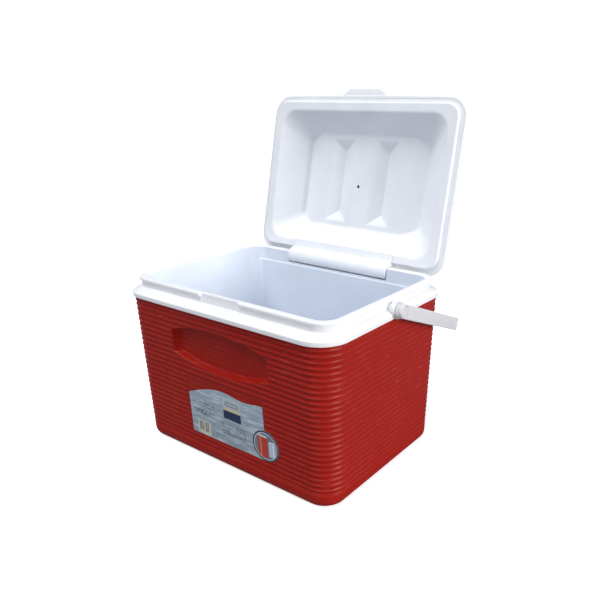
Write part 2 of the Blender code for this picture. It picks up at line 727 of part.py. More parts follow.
def pivot_washer(side, word):
    start = washer_face()
    disc = prism_x("pivot_washer_" + word, circle(WASHER_RADIUS, (PIVOT_Y, PIVOT_Z)), side * start,
                   side * (start + WASHER_THICKNESS), white_plastic())
    bore = circle(PIN_RADIUS + GAP, (PIVOT_Y, PIVOT_Z))
    cut(disc, prism_x("washer_bore_" + word, bore, side * (start - GAP),
                      side * (start + WASHER_THICKNESS + GAP), white_plastic()))
    return disc


def pivot_pin(side, word):
    """A push-in pin, from its flush head in the arm to its end in the rim's boss."""
    axis = (PIVOT_Y, PIVOT_Z)
    outer = hub_face() + HUB_LENGTH + ARM_THICKNESS
    end = RIM_LENGTH / 2 + BOSS_PROUD - PIN_DEPTH
    loops = []
    for radius, x in ((PIN_RADIUS, end), (PIN_RADIUS, outer - PIN_HEAD),
                      (PIN_HEAD_RADIUS, outer - PIN_HEAD), (PIN_HEAD_RADIUS, outer)):
        loops.append([(side * x, y, z) for y, z in circle(radius, axis)])
    return solid("pivot_pin_" + word, loops, white_plastic())


def main():
    clear_scene()
    outer_shell()
    body_foam()
    liner()
    hinge_rod()
    label()
    for side, word in ((-1, "left"), (1, "right")):
        pivot_washer(side, word)
        pivot_pin(side, word)
    lid_axis = axis_empty("lid_axis", HINGE_Y, HINGE_Z, -LID_OPEN_ANGLE)
    hang(lid_axis, lid_shell(), lid_liner(), lid_foam(), hinge_strap())
    handle_axis = axis_empty("handle_axis", PIVOT_Y, PIVOT_Z, HANDLE_REST_ANGLE)
    hang(handle_axis, handle())


main()
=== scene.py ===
"""Looks for a hard cooler: a ribbed shell, a white tub and rim, a hinged lid and a swing handle.

Metres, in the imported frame: +X along the length, +Y to the back, +Z up, ground at zero. The lid
and the handle are drawn shut and level, then turned about their joints to where the frame has
them. Every outline is a rounded rectangle (length, width, corner radius) about the centre.
"""
import json
from math import acos, atan2, cos, degrees, hypot, pi, radians, sin, sqrt

import bmesh
import bpy
from mathutils import Matrix, Vector
from mathutils.geometry import delaunay_2d_cdt


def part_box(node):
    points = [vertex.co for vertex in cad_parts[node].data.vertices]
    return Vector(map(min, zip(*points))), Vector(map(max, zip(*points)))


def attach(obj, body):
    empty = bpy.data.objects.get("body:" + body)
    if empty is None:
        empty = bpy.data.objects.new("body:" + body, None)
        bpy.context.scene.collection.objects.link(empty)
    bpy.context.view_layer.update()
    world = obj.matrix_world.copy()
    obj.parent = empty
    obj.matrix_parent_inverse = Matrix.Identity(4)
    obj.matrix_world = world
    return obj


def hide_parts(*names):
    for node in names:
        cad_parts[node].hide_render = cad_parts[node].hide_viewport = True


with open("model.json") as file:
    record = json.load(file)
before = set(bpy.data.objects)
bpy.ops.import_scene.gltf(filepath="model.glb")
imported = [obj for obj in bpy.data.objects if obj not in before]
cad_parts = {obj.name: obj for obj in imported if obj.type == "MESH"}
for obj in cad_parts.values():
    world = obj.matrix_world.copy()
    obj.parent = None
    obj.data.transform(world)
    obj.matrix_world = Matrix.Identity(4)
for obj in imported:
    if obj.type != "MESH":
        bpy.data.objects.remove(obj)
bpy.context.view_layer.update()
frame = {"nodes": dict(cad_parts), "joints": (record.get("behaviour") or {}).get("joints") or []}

# From the frame
JOINTS = {joint["name"]: joint for joint in frame["joints"]}
HINGE = Vector(JOINTS["lid_hinge"]["pos_m"])
LID_SWING = radians(JOINTS["lid_hinge"]["range_deg"][1])
PIVOT = Vector(JOINTS["handle_pivot"]["pos_m"])
HANDLE_SWING = radians(JOINTS["handle_pivot"]["range_deg"][1])
BODY_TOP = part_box("liner")[1].z
SHELL_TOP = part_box("outer_shell")[1].z
SHELL_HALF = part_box("outer_shell")[1].x
HANDLE_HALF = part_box("handle")[1].x
WASHER_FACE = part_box("pivot_washer_right")[0].x
TROUGH_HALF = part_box("hinge_strap")[1].x + 0.002
BOSS_PROUD = 0.001
RIM = (2 * (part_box("liner")[1].x - BOSS_PROUD), 2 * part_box("liner")[1].y, 0.0465)
GAP = 0.0003

# Rim and tub
SKIRT_Z = SHELL_TOP + GAP
SKIRT_EDGE = 0.007
SKIRT_LAND = 0.0073
SHOULDER_X = 0.00785
SHOULDER_Y = 0.0153
SHOULDER_Z = BODY_TOP - 0.0145
COVE_DEPTH = 0.003
LIP_BAND = 0.0045
LIP_FACE = 0.0125
RIM_SKIN = 0.003
LIP = (RIM[0] - 2 * SHOULDER_X, RIM[1] - 2 * SHOULDER_Y, 0.0365)
MOUTH = (LIP[0] - 2 * LIP_FACE, LIP[1] - 2 * LIP_FACE, 0.0245)
TUB_WALL = 0.002
TUB_FLOOR = 0.036
TUB_FILLET = 0.010
TUB_TAPER = (0.022, 0.0252)
LEDGE_Z = BODY_TOP - 0.024
LEDGE_DEPTH = 0.003

# Shell
SHELL_TAPER = (0.0063, 0.01265)
SHELL_HEAD = (2 * SHELL_HALF, RIM[1] - (RIM[0] - 2 * SHELL_HALF), 0.042)
FOOT_ROUND = 0.012
RIB_PITCH = 0.0089
RIB_HEIGHT = 0.0013
RIB_WIDTH = 0.0054
RIB_START = 0.0262
SHELL_SKIN = 0.0018
RECESS_HALF = 0.102
RECESS_TOP = SKIRT_Z - 0.040
RECESS_FOOT = SKIRT_Z - 0.077
RECESS_RISE = 0.016
RECESS_SAG = 0.015
RECESS_DEPTH = 0.012
RECESS_CORNER = 0.005
PANEL = (-0.078, 0.0875, 0.044, RECESS_FOOT - 0.032)
PANEL_DEPTH = 0.0014
BADGE_RADIUS = 0.0275
BADGE = (0.0870, 0.045 + BADGE_RADIUS)
LABEL_THICKNESS = 0.0005
LABEL_MARGIN = 0.001
LABEL_LEFT_TOP = 0.117
LABEL_RISE = 0.0215
LABEL_DIP = 0.0045

# Lid, shut
EAVE_Z = BODY_TOP + GAP
EAVE_INSET = 0.003
EAVE = (LIP[0] - 2 * EAVE_INSET, LIP[1] - 2 * EAVE_INSET, LIP[2] - EAVE_INSET)
EAVE_BAND = 0.007
EAVE_BOW = 0.002
EAVE_SKIN = 0.003
LID_TOP = EAVE_Z + 0.0505
LID_SKIN = 0.002
TAB_TIP_HALF = 0.0325
TAB_BASE_HALF = 0.0475
TAB_ROOT_HALF = 0.056
TAB_REACH = 0.012
TAB_THICKNESS = 0.0035
PLUG_GAP = 0.001
PLUG_BACK_GAP = 0.003
PLUG = (MOUTH[0] - 2 * PLUG_GAP, MOUTH[1] - PLUG_GAP - PLUG_BACK_GAP, MOUTH[2] - PLUG_GAP)
PLUG_SHIFT = (PLUG_GAP - PLUG_BACK_GAP) / 2
RING_Z = BODY_TOP - 0.006
RING_FACE = 0.01625
CAVITY = (MOUTH[0] - 2 * (PLUG_GAP + RING_FACE), MOUTH[1] - 2 * (PLUG_GAP + RING_FACE), 0.030)
CAVITY_DEPTH = 0.043
CAVITY_RUN = 0.048
CEILING_CORNER = 0.010
PLATEAU_DROP = 0.0115
PLATEAU_SLOPE = 0.026
GROOVE_X = 0.0475
GROOVE_HALF = 0.024
GROOVE_RIDGE = 0.0555
GROOVE_HIP = 0.020
VENT = (-0.0040, 0.0085)
VENT_RADIUS = 0.0030
SNAP_X = 0.089

# Hinge and handle
TROUGH_RADIUS = 0.0182
ROD_RADIUS = 0.0065
ROD_ENGAGE = 0.005
EAR_RADIUS = 0.0088
STRAP_RADIUS = 0.0170
STRAP_PLATE = 0.003
BOSS_RADIUS = 0.0115
WASHER_RADIUS = 0.0135
WASHER_THICKNESS = 0.002
HUB_RADIUS = 0.012
ARM_LENGTH = 0.1925
ARM_THICKNESS = 0.006
ARM_WIDTH = 0.022
BAR_THICKNESS = 0.0068
GRIP_THICKNESS = 0.0145
GRIP_HALF = 0.060
PIN_RADIUS = 0.0045
PIN_HEAD_RADIUS = 0.0085
PIN_HEAD = 0.002
PIN_BURIED = 0.0098

FLOOR_GLOW = 0.6

# Smoothness
CORNER_STEPS = 14
FRONT_STEPS = 24
FILLET_STEPS = 5


# Outlines and paths

def grow(spec, dx, dy=None):
    dy = dx if dy is None else dy
    return spec[0] + 2 * dx, spec[1] + 2 * dy, max(spec[2] + min(dx, dy), 0.003)


def between(low, high, share):
    return tuple(a + (b - a) * share for a, b in zip(low, high))


def outline(spec, shift=0.0, bow=0.0):
    """Points anticlockwise round a rounded rectangle, its front side bowed out in the middle."""
    length, width, corner = spec
    half_x = length / 2 - corner
    half_y = width / 2 - corner
    points = []
    for quarter, (cx, cy) in enumerate(((1, 1), (-1, 1), (-1, -1), (1, -1))):
        if quarter == 3:
            for step in range(1, FRONT_STEPS):
                points.append((half_x * (2 * step / FRONT_STEPS - 1), -width / 2))
        for step in range(CORNER_STEPS + 1):
            angle = (quarter + step / CORNER_STEPS) * pi / 2
            points.append((cx * half_x + corner * cos(angle), cy * half_y + corner * sin(angle)))
    bowed = []
    for x, y in points:
        push = bow * (1 - (2 * x / length) ** 2) if y <= -half_y else 0.0
        bowed.append((x, y - push + shift))
    return bowed


def arc(radius, start, end, steps, centre=(0.0, 0.0)):
    angles = [radians(start + (end - start) * s / steps) for s in range(steps + 1)]
    return [(centre[0] + radius * cos(a), centre[1] + radius * sin(a)) for a in angles]


def circle(radius, centre, steps=48):
    return arc(radius, 0, 360, steps, centre)[:-1]


def rounded_path(corners, closed=False, steps=FILLET_STEPS):
    """A path through (u, v, radius) corners, each turned into an arc of that radius."""
    path = []
    for i, (u, v, radius) in enumerate(corners):
        here = Vector((u, v))
        ends = not closed and i in (0, len(corners) - 1)
        if radius == 0 or ends:
            path.append((u, v))
            continue
        before = (Vector(corners[i - 1][:2]) - here).normalized()
        after = (Vector(corners[(i + 1) % len(corners)][:2]) - here).normalized()
        half = before.angle(after) / 2
        reach = radius / max(abs(sin(half) / cos(half)), 0.001)
        centre = here + (before + after).normalized() * (radius / sin(half))
        start = here + before * reach - centre
        turn = pi - 2 * half
        side = 1 if before.x * after.y - before.y * after.x < 0 else -1
        for step in range(steps + 1):
            angle = side * turn * step / steps
            path.append((centre.x + start.x * cos(angle) - start.y * sin(angle),
                         centre.y + start.x * sin(angle) + start.y * cos(angle)))
    return path


# Meshes

def new_object(name, build, smooth_angle=32):
    mesh = bpy.data.meshes.new(name)
    build.to_mesh(mesh)
    build.free()
    thing = bpy.data.objects.new(name, mesh)
    bpy.context.scene.collection.objects.link(thing)
    shade(thing, smooth_angle)
    return thing


def shade(thing, smooth_angle=32):
    thing.data.shade_smooth()
    thing.data.set_sharp_from_angle(angle=radians(smooth_angle))


def solid(name, loops):
    """A closed body through loops of 3-D points, capped at the first and last."""
    build = bmesh.new()
    rings = [[build.verts.new(point) for point in loop] for loop in loops]
    for low, high in zip(rings, rings[1:]):
        for i, vert in enumerate(low):
            after = (i + 1) % len(low)
            build.faces.new((vert, low[after], high[after], high[i]))
    build.faces.new(reversed(rings[0]))
    build.faces.new(rings[-1])
    bmesh.ops.recalc_face_normals(build, faces=build.faces)
    return new_object(name, build)


def loft(name, levels):
    """A closed body through levels of (outline, z) or (outline, z, shift, bow)."""
    loops = []
    for spec, z, *rest in levels:
        shift, bow = rest or (0.0, 0.0)
        loops.append([(x, y, z) for x, y in outline(spec, shift, bow)])
    return solid(name, loops)


def prism_x(name, profile, start, end):
    return solid(name, [[(x, y, z) for y, z in profile] for x in (start, end)])


def prism_z(name, profile, start, end):
    return solid(name, [[(x, y, z) for x, y in profile] for z in (start, end)])


def turned_x(name, stations, centre):
    """A round body along X through (x, radius) stations."""
    loops = []
    for x, radius in stations:
        loops.append([(x, y, z) for y, z in circle(radius, centre)])
    return solid(name, loops)


def settle(thing):
    """Make a piece's modifiers part of its mesh."""
    graph = bpy.context.evaluated_depsgraph_get()
    shaped = bpy.data.meshes.new_from_object(thing.evaluated_get(graph))
    thing.modifiers.clear()
    thing.data = shaped
    shade(thing)
    return thing


def combine(target, tool, operation):
    change = target.modifiers.new(tool.name, "BOOLEAN")
    change.operation = operation
    change.solver = "EXACT"
    change.object = tool
    settle(target)
    bpy.data.objects.remove(tool)


def soften(thing, width, segments=3, angle=30):
    """Round a piece's sharp edges."""
    change = thing.modifiers.new("round", "BEVEL")
    change.width = width
    change.segments = segments
    change.limit_method = "ANGLE"
    change.angle_limit = radians(angle)
    change.use_clamp_overlap = True
    return settle(thing)


def turn(thing, pivot, angle):
    move = Matrix.Translation(pivot) @ Matrix.Rotation(angle, 4, "X") @ Matrix.Translation(-pivot)
    thing.data.transform(move)


def place(thing, finish, body, slot, *nodes):
    """Give a finished piece its material and body, and hide the CAD nodes it stands for. The slot is not
    used.
    """
    if body == "lid":
        turn(thing, HINGE, -LID_SWING)
    if body == "handle":
        turn(thing, PIVOT, -HANDLE_SWING)
    thing.data.materials.clear()
    thing.data.materials.append(finish)
    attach(thing, body)
    if nodes:
        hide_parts(*nodes)
    return thing


# Materials

def node(tree, kind, inputs=None, **settings):
    made = tree.nodes.new(kind)
    for key, value in settings.items():
        setattr(made, key, value)
    for key, value in (inputs or {}).items():
        if isinstance(value, bpy.types.NodeSocket):
            tree.links.new(value, made.inputs[key])
        else:
            made.inputs[key].default_value = value
    return made


def maths(tree, operation, a, b=0.0, clamp=False):
    return node(tree, "ShaderNodeMath", {0: a, 1: b}, operation=operation, use_clamp=clamp).outputs[0]


def remap(tree, value, low, high, to_low=0.0, to_high=1.0):
    inputs = {0: value, 1: low, 2: high, 3: to_low, 4: to_high}
    return node(tree, "ShaderNodeMapRange", inputs).outputs[0]


def mix(tree, share, low, high):
    mixed = node(tree, "ShaderNodeMix", data_type="RGBA")
    for index, value in ((0, share), (6, low), (7, high)):
        if isinstance(value, bpy.types.NodeSocket):
            tree.links.new(value, mixed.inputs[index])
        else:
            mixed.inputs[index].default_value = value
    return mixed.outputs[2]


def noise(tree, places, scale, detail=2.0, stretch=None):
    if stretch is not None:
        places = node(tree, "ShaderNodeMapping", {"Vector": places, "Scale": stretch}).outputs[0]
    inputs = {"Vector": places, "Scale": scale, "Detail": detail}
    return node(tree, "ShaderNodeTexNoise", inputs).outputs[0]


def blank(name):
    finish = bpy.data.materials.new(name)
    finish.use_nodes = True
    tree = finish.node_tree
    places = node(tree, "ShaderNodeTexCoord").outputs["Object"]
    return finish, tree, tree.nodes["Principled BSDF"], places


def connect(tree, shader, colour, roughness, bump):
    tree.links.new(colour, shader.inputs["Base Color"])
    tree.links.new(roughness, shader.inputs["Roughness"])
    tree.links.new(bump, shader.inputs["Normal"])


def moulded_plastic(name, colour, wear_and_highlight_colour, roughness, specular=0.35, marks_and_highlights=None):
    """Moulded polyolefin: faint mottling, a fine grain, soft scuffing and rougher rubbed patches. An
    optional mask adds more of the lighter colour; on the red ribs that is painted highlight along the
    crests as well as wear.
    """
    finish, tree, shader, places = blank(name)
    mottle = remap(tree, noise(tree, places, 14, 3), 0.3, 0.7)
    shaded = tuple(c * 0.93 for c in colour[:3]) + (1.0,)
    base = mix(tree, mottle, shaded, colour)
    streaks = noise(tree, places, 60, 4, (1.0, 1.0, 9.0))
    scuffs_and_highlights = remap(tree, streaks, 0.62, 0.78, 0.0, 0.35)
    # The mask passed in adds lighter colour where it is high: on the red ribs, painted highlight along the
    # crests as well as wear.
    if marks_and_highlights is not None:
        scuffs_and_highlights = maths(tree, "ADD", scuffs_and_highlights, marks_and_highlights(tree, places), clamp=True)
    base = mix(tree, scuffs_and_highlights, base, wear_and_highlight_colour)
    patches = remap(tree, noise(tree, places, 30, 3), 0.3, 0.7, roughness - 0.05, roughness + 0.07)
    rough = maths(tree, "ADD", patches, maths(tree, "MULTIPLY", scuffs_and_highlights, 0.25), clamp=True)
    grain = noise(tree, places, 1400, 1)
    waves = noise(tree, places, 45, 1)
    height = maths(tree, "ADD", maths(tree, "MULTIPLY", grain, 0.12), maths(tree, "MULTIPLY", waves, 1.0))
    bump = node(tree, "ShaderNodeBump", {"Height": height, "Strength": 0.35, "Distance": 0.0004})
    connect(tree, shader, base, rough, bump.outputs[0])
    shader.inputs["Specular IOR Level"].default_value = specular
    return finish


def crest_wear_and_highlight(tree, places):
    """Rubbing along the crests of the ribs, in broken runs, together with painted highlight: the lighter
    red laid on the crests stands in for the light catching them.
    """
    height = node(tree, "ShaderNodeSeparateXYZ", {0: places}).outputs["Z"]
    phase = maths(tree, "MULTIPLY", maths(tree, "SUBTRACT", height, RIB_START), 2 * pi / RIB_PITCH)
    crest = remap(tree, maths(tree, "MULTIPLY", maths(tree, "COSINE", phase), -1.0), 0.86, 1.0)
    runs = remap(tree, noise(tree, places, 22, 4), 0.45, 0.7, 0.10, 0.34)
    return maths(tree, "MULTIPLY", crest, runs)


def foam():
    finish, tree, shader, places = blank("rigid_foam")
    cells = node(tree, "ShaderNodeTexVoronoi", {"Vector": places, "Scale": 700.0}).outputs[0]
    base = mix(tree, cells, (0.78, 0.72, 0.50, 1.0), (0.88, 0.83, 0.64, 1.0))
    rough = remap(tree, cells, 0.0, 1.0, 0.8, 0.95)
    bump = node(tree, "ShaderNodeBump", {"Height": cells, "Strength": 0.5, "Distance": 0.0005})
    connect(tree, shader, base, rough, bump.outputs[0])
    return finish


def band(tree, value, low, high, soft=0.0003):
    """1 between two values of a coordinate, falling to 0 over a soft edge."""
    rise = remap(tree, value, low - soft, low + soft)
    fall = remap(tree, value, high - soft, high + soft, 1.0, 0.0)
    return maths(tree, "MULTIPLY", rise, fall)


def patch(tree, x, z, left, right, foot, top):
    return maths(tree, "MULTIPLY", band(tree, x, left, right), band(tree, z, foot, top))


def disc(tree, x, z, centre, radius):
    across = maths(tree, "POWER", maths(tree, "SUBTRACT", x, centre[0]), 2.0)
    up = maths(tree, "POWER", maths(tree, "SUBTRACT", z, centre[1]), 2.0)
    distance = maths(tree, "SQRT", maths(tree, "ADD", across, up))
    return remap(tree, distance, radius - 0.0003, radius + 0.0003, 1.0, 0.0)


def print_lines(tree, x, z, places):
    """Rows of short dashes where a label would have its small print."""
    rows = [(-0.069, -0.020, 0.1045, 0.0011), (-0.064, -0.026, 0.0995, 0.0010),
            (-0.069, -0.020, 0.0900, 0.0016), (-0.066, -0.030, 0.0855, 0.0012)]
    rows += [(-0.005, 0.047, 0.0830 - 0.0042 * row, 0.0009) for row in range(5)]
    words = remap(tree, noise(tree, places, 260, 1, (1.0, 0.0, 0.35)), 0.42, 0.48)
    ink = 0.0
    for left, right, middle, half in rows:
        ink = maths(tree, "MAXIMUM", ink, patch(tree, x, z, left, right, middle - half, middle + half))
    return maths(tree, "MULTIPLY", ink, words)


def badge_picture(tree, x, z, base):
    """A ringed roundel with two plain drink cans."""
    cx, cz = BADGE
    rings = ((0.0262, (0.020, 0.030, 0.055, 1.0)), (0.0236, (0.62, 0.66, 0.70, 1.0)),
             (0.0222, (0.16, 0.20, 0.27, 1.0)))
    for radius, colour in rings:
        base = mix(tree, disc(tree, x, z, BADGE, radius), base, colour)
    inside = disc(tree, x, z, BADGE, 0.0222)
    cans = ((-0.0150, 0.0050, -0.0205, 0.0150, (0.50, 0.045, 0.025, 1.0)),
            (-0.0135, 0.0035, 0.0150, 0.0180, (0.70, 0.72, 0.74, 1.0)),
            (-0.0110, -0.0080, -0.0195, 0.0140, (0.72, 0.20, 0.13, 1.0)),
            (0.0065, 0.0200, -0.0160, 0.0085, (0.50, 0.60, 0.70, 1.0)),
            (0.0075, 0.0190, 0.0085, 0.0110, (0.78, 0.80, 0.82, 1.0)),
            (0.0145, 0.0170, -0.0150, 0.0075, (0.80, 0.84, 0.88, 1.0)))
    for left, right, foot, top, colour in cans:
        mask = patch(tree, x, z, cx + left, cx + right, cz + foot, cz + top)
        base = mix(tree, maths(tree, "MULTIPLY", mask, inside), base, colour)
    return base


def label_print():
    """A printed film: rippled water, a small picture of a box, small print, stripes and a roundel."""
    finish, tree, shader, places = blank("label_print_film")
    axes = node(tree, "ShaderNodeSeparateXYZ", {0: places}).outputs
    x, z = axes["X"], axes["Z"]
    water = noise(tree, places, 26, 4, (1.0, 1.0, 7.0))
    base = mix(tree, remap(tree, z, 0.045, 0.135), (0.27, 0.33, 0.37, 1.0), (0.33, 0.43, 0.51, 1.0))
    base = mix(tree, remap(tree, water, 0.46, 0.70, 0.0, 0.75), base, (0.70, 0.77, 0.81, 1.0))
    pale = (0.66, 0.64, 0.55, 1.0)
    navy = (0.012, 0.030, 0.085, 1.0)
    shapes = [(-0.0630, -0.0340, 0.0480, 0.0710, pale), (0.0010, 0.0385, 0.0935, 0.1090, navy),
              (0.0020, 0.0375, 0.1090, 0.1145, (0.62, 0.57, 0.40, 1.0)),
              (0.0005, 0.0390, 0.1145, 0.1270, (0.50, 0.54, 0.57, 1.0)),
              (0.0060, 0.0340, 0.1170, 0.1245, (0.16, 0.20, 0.25, 1.0)),
              (0.0080, 0.0320, 0.1185, 0.1232, (0.44, 0.48, 0.52, 1.0))]
    for left, right, foot, top, colour in shapes:
        base = mix(tree, patch(tree, x, z, left, right, foot, top), base, colour)
    stripes = remap(tree, noise(tree, places, 520, 0, (1.0, 0.0, 0.0)), 0.46, 0.54)
    stripes = maths(tree, "MULTIPLY", stripes, patch(tree, x, z, -0.0600, -0.0370, 0.0520, 0.0700))
    base = mix(tree, stripes, base, (0.06, 0.06, 0.06, 1.0))
    ink = maths(tree, "MULTIPLY", print_lines(tree, x, z, places), 0.75)
    base = mix(tree, ink, base, (0.03, 0.05, 0.10, 1.0))
    base = badge_picture(tree, x, z, base)
    wear = remap(tree, noise(tree, places, 90, 4), 0.66, 0.80, 0.0, 0.25)
    base = mix(tree, wear, base, (0.60, 0.62, 0.64, 1.0))
    rough = remap(tree, noise(tree, places, 60, 3), 0.3, 0.7, 0.22, 0.36)
    creases = noise(tree, places, 35, 2)
    bump = node(tree, "ShaderNodeBump", {"Height": creases, "Strength": 0.3, "Distance": 0.0004})
    connect(tree, shader, base, rough, bump.outputs[0])
    return finish


# Shell

def shell_outline(z, inset=0.0):
    foot = (SHELL_HEAD[0] - 2 * SHELL_TAPER[0], SHELL_HEAD[1] - 2 * SHELL_TAPER[1], 0.036)
    return grow(between(foot, SHELL_HEAD, z / SHELL_TOP), -inset)


def front_y(z):
    return -shell_outline(z)[1] / 2


def front_solid(name, layers):
    """Layers of ((x, z) points, depth in from the front ribs' crests), joined front to back."""
    loops = [[(x, front_y(z) + depth, z) for x, z in points] for points, depth in layers]
    return solid(name, loops)


def recess_edge(margin, slope=0.0):
    """The grip recess's outline, grown by a margin, with its foot raised by a slope."""
    half = RECESS_HALF + margin
    corner = max(RECESS_CORNER + margin, 0.001)
    high = RECESS_TOP + margin
    low = RECESS_FOOT - margin + slope
    points = []
    for base, bulge, side in ((high, RECESS_RISE, 1), (low, -RECESS_SAG, -1)):
        lean = atan2(2 * abs(bulge), half)
        start_x = half - corner + corner * sin(lean)
        curve = []
        for step in range(25):
            x = start_x * (1 - step / 12)
            curve.append((x, base + bulge * (1 - (x / half) ** 2)))
        centre_z = curve[0][1] - side * corner * cos(lean)
        turned = [(half - corner + corner * cos(a), centre_z + side * corner * sin(a))
                  for a in [(pi / 2 - lean) * s / 6 for s in range(6)]]
        left = [(-x, z) for x, z in reversed(turned)]
        edge = turned + curve + left
        points += edge if side > 0 else edge[::-1]
    return points


def recess_layers(margin, start, rim):
    """Layers of the recess's space, with a rounded rim and rounded foot."""
    depth = RECESS_DEPTH + margin
    layers = [(recess_edge(margin + rim), start)]
    for step in range(FILLET_STEPS + 1):
        angle = pi / 2 * step / FILLET_STEPS
        layers.append((recess_edge(margin + rim * (1 - sin(angle))), 0.0006 + rim * (1 - cos(angle))))
    foot = 0.002
    for step in range(FILLET_STEPS + 1):
        angle = pi / 2 * step / FILLET_STEPS
        inset = 0.0010 + foot * (1 - cos(angle))
        layers.append((recess_edge(margin - inset, 0.0015), depth - foot + foot * sin(angle)))
    return layers


def panel_edge(margin):
    """The plain panel's outline, with the round lobe under the label's badge."""
    left, right, foot, top = PANEL
    left, right, foot, top = left - margin, right + margin, foot - margin, top + margin
    return [(left, foot)] + badge_arc(right, BADGE_RADIUS + margin) + [(right, top), (left, top)]


def badge_arc(right, radius):
    """From straight below the badge's centre round to where it meets the panel's right side."""
    return arc(radius, -90, degrees(acos((right - BADGE[0]) / radius)), 40, BADGE)


def rib(z):
    """How far the surface stands in from the crests at a height."""
    start = RIB_START
    count = int((SHELL_TOP - RIB_HEIGHT - start) / RIB_PITCH)
    place_in = (z - start) / RIB_PITCH
    if place_in < 0 or place_in > count:
        return RIB_HEIGHT if place_in > 0 or z > start - 0.002 else 0.0
    off = abs(place_in % 1 - 0.5) * 2 * RIB_PITCH / RIB_WIDTH
    bulge = cos(pi / 2 * min(off, 1)) ** 0.8 if off < 1 else 0.0
    return RIB_HEIGHT * (1 - bulge)


def shell(finish):
    levels = []
    for step in range(9):
        angle = pi / 2 * step / 8
        z = FOOT_ROUND * (1 - cos(angle))
        levels.append((shell_outline(z, FOOT_ROUND * (1 - sin(angle))), z))
    steps = 10
    rows = [RIB_START - 0.0022, RIB_START - 0.0014, RIB_START - 0.0007]
    shoulder = [0.0, 0.25 * RIB_HEIGHT, 0.85 * RIB_HEIGHT]
    levels += [(shell_outline(z, inset), z) for z, inset in zip(rows, shoulder)]
    count = int((SHELL_TOP - RIB_HEIGHT - RIB_START) / RIB_PITCH)
    for row in range(count * steps + 1):
        z = RIB_START + row * RIB_PITCH / steps
        levels.append((shell_outline(z, rib(z)), z))
    levels.append((shell_outline(SHELL_TOP, RIB_HEIGHT), SHELL_TOP))
    inside = SHELL_SKIN + RIB_HEIGHT
    levels.append((shell_outline(SHELL_TOP, inside), SHELL_TOP))
    levels.append((shell_outline(FOOT_ROUND, inside), FOOT_ROUND))
    levels.append((shell_outline(0.003, FOOT_ROUND), 0.003))
    thing = loft("ribbed_shell", levels)
    pan = [(recess_edge(SHELL_SKIN), 0.0022),
           (recess_edge(SHELL_SKIN - 0.001, 0.003), RECESS_DEPTH + SHELL_SKIN)]
    combine(thing, front_solid("recess_pan", pan), "UNION")
    combine(thing, front_solid("recess_space", recess_layers(0.0, -FOOT_ROUND, 0.0018)), "DIFFERENCE")
    layers = [(panel_edge(0.0012), -FOOT_ROUND), (panel_edge(0.0012), 0.0),
              (panel_edge(0.0004), 0.0005), (panel_edge(0.0), PANEL_DEPTH)]
    combine(thing, front_solid("panel_space", layers), "DIFFERENCE")
    return place(thing, finish, "cooler_body", "red_shell", "outer_shell")


# Tub and rim

def tub_outline(z, out=0.0):
    floor = (MOUTH[0] - 2 * TUB_TAPER[0], MOUTH[1] - 2 * TUB_TAPER[1], MOUTH[2])
    return grow(between(floor, MOUTH, (z - TUB_FLOOR) / (BODY_TOP - TUB_FLOOR)), out)


def rim_levels():
    """The rim's outside, from under the skirt over the lip to the mouth."""
    cove = grow(LIP, -COVE_DEPTH)
    cove_run = SHOULDER_Y + COVE_DEPTH
    outer = rounded_path([
        (SKIRT_LAND, SKIRT_Z, 0), (0.0, SKIRT_Z, 0.0007), (0.0, SKIRT_Z + SKIRT_EDGE, 0.0016),
        (cove_run, SHOULDER_Z, 0.0022), (cove_run, BODY_TOP - LIP_BAND - 0.002, 0)])
    levels = []
    for run, z in outer:
        spec = grow(RIM, -run) if z <= SKIRT_Z + 0.0001 else between(RIM, cove, run / cove_run)
        levels.append((spec, z))
    lip = rounded_path([
        (COVE_DEPTH, BODY_TOP - LIP_BAND - 0.001, 0), (0.0, BODY_TOP - LIP_BAND, 0.0005),
        (0.0, BODY_TOP, 0.0016), (LIP_FACE, BODY_TOP, 0.0016), (LIP_FACE, BODY_TOP - 0.004, 0)])
    levels += [(between(LIP, MOUTH, run / LIP_FACE), z) for run, z in lip[:-1]]
    return levels


def tub_levels():
    levels = []
    for z, share in ((LEDGE_Z + 0.0008, 0.0), (LEDGE_Z + 0.0002, 0.15), (LEDGE_Z, 0.4),
                     (LEDGE_Z - 0.0001, 0.8), (LEDGE_Z - 0.0008, 1.0)):
        shift = -LEDGE_DEPTH / 2 * share
        levels.append((grow(tub_outline(z), 0.0, shift), z, shift, 0.0))
    shift = -LEDGE_DEPTH / 2
    for step in range(8, -1, -1):
        angle = pi / 2 * step / 8
        z = TUB_FLOOR + TUB_FILLET * (1 - cos(angle))
        spec = tub_outline(z, -TUB_FILLET * (1 - sin(angle)))
        levels.append((grow(spec, 0.0, shift), z, shift, 0.0))
    return levels


def rim_filling(name, half, side, outer, top):
    """A block that fills the hollow under the lip, on the front (side -1) or the back (side 1)."""
    cove = LIP[1] / 2 - COVE_DEPTH
    inner = tub_outline(SKIRT_Z)[1] / 2 + TUB_WALL / 2
    profile = [(inner, SKIRT_Z + GAP), (outer, SKIRT_Z + GAP), (outer, SKIRT_Z + SKIRT_EDGE - RIM_SKIN / 2),
               (cove - RIM_SKIN / 2, SHOULDER_Z - RIM_SKIN / 2), (cove - RIM_SKIN / 2, top),
               (MOUTH[1] / 2 + TUB_WALL / 2, top)]
    return prism_x(name, [(side * y, z) for y, z in profile], -half, half)


